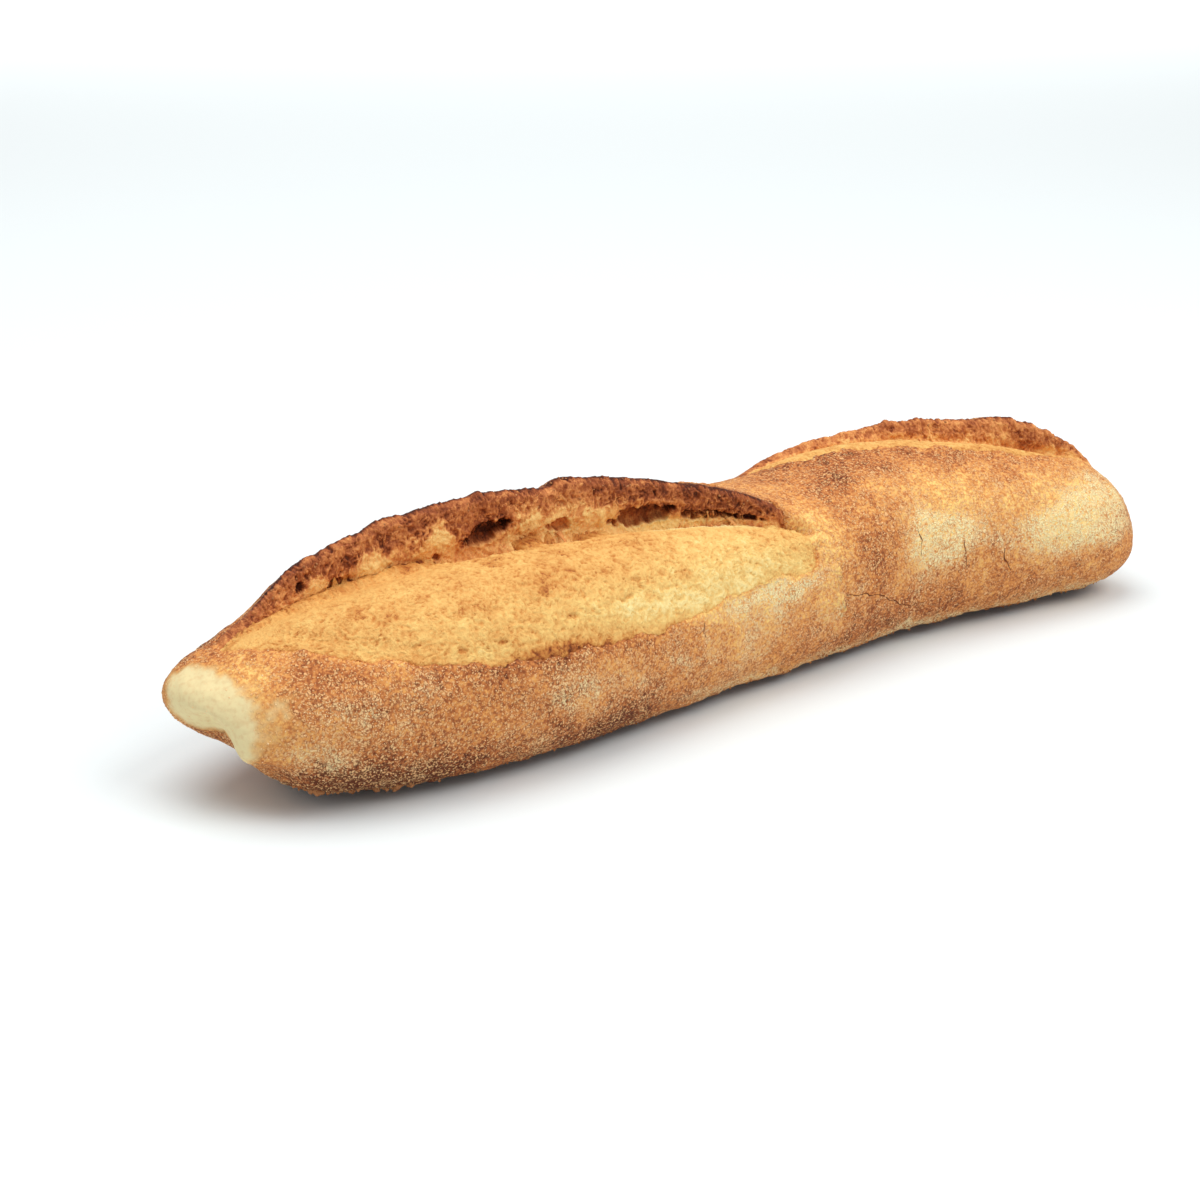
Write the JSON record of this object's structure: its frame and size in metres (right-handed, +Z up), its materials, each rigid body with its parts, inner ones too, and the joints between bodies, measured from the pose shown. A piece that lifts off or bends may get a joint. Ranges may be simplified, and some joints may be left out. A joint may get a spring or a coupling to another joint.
{
  "type": "italian bread loaf",
  "caption": "Long Italian loaf with a golden floured crust, slashed along its crown: torn brown ears stand behind pale swollen blooms, and it rests on a flat base.",
  "frame": {"origin": "on the floor under the middle of the loaf's bounding box", "axes": "+X runs along the loaf from its narrow lifted end to its blunt end, -Y is the front with the wide bloom, +Z is up"},
  "size_m": [0.345, 0.0864, 0.0717],
  "materials": {
    "crust": "matt golden-brown baked crust with a dusting of pale flour"
  },
  "bodies": {
    "root": {"loaf": "crust"}
  },
  "joints": []
}
